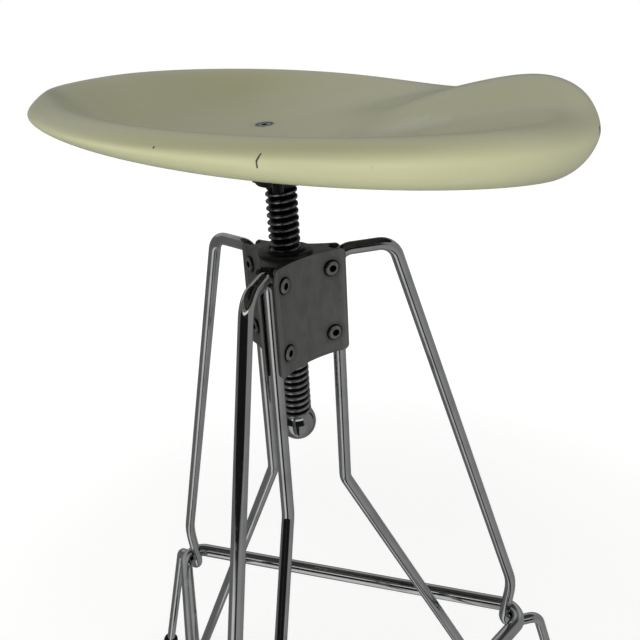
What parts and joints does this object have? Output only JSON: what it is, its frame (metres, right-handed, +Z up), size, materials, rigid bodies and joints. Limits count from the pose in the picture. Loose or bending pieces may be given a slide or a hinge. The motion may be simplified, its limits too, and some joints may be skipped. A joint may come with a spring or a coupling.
{
  "type": "tractor seat stool",
  "caption": "Tall stool with a dished tractor seat that turns and rises on a screw, held by three bent wire legs and a triangular foot ring.",
  "frame": {"origin": "on the floor, on the axis of the lift screw", "axes": "+Z up along the lift screw, -Y towards the front wire leg, +X towards the right of it as seen from the front"},
  "size_m": [0.5071, 0.5047, 0.7134],
  "materials": {
    "cream_enamel": "gloss cream enamel, slightly greenish, with a few chips",
    "chrome_wire": "bright chrome plate on round steel wire, a little dulled",
    "satin_plate": "satin steel plate with fine scratches",
    "screw_steel": "worn button-head and countersunk screws",
    "black_steel": "black, greasy, half gloss",
    "screw_thread_steel": "oiled dark steel with bright crests",
    "polished_steel": "polished dark chrome ball",
    "black_rubber": "matte black moulded rubber"
  },
  "bodies": {
    "base": {"wire_leg_front": "chrome_wire", "wire_leg_right": "chrome_wire", "wire_leg_left": "chrome_wire", "foot_ring": "chrome_wire", "outer_foot_front": "black_rubber", "outer_foot_right": "black_rubber", "outer_foot_left": "black_rubber", "inner_foot_front": "black_rubber", "inner_foot_right": "black_rubber", "inner_foot_left": "black_rubber", "hub_plate_right_front": "satin_plate", "hub_plate_rear": "satin_plate", "hub_plate_left_front": "satin_plate", "hub_core": "satin_plate", "plate_screws": "screw_steel", "lift_nut": "black_steel"},
    "ball": {"ball_end": "polished_steel"},
    "seat": {"seat_shell": "cream_enamel", "seat_mount": "black_steel", "seat_screws": "screw_steel", "lift_screw": "screw_thread_steel"}
  },
  "joints": [
    {"name": "seat_lift", "type": "slide", "parent": "base", "child": "ball", "axis": [0, 0, 1], "range_m": [-0.03502, 0.04002]},
    {"name": "seat_turn", "type": "hinge", "parent": "ball", "child": "seat", "pos_m": [0, 0, 0.5], "axis": [0, 0, 1], "range_deg": [-2520, 2880]}
  ],
  "couplings": [
    {"joint": "seat_lift", "follows": "seat_turn", "m_per_rad": 0.00079577}
  ]
}
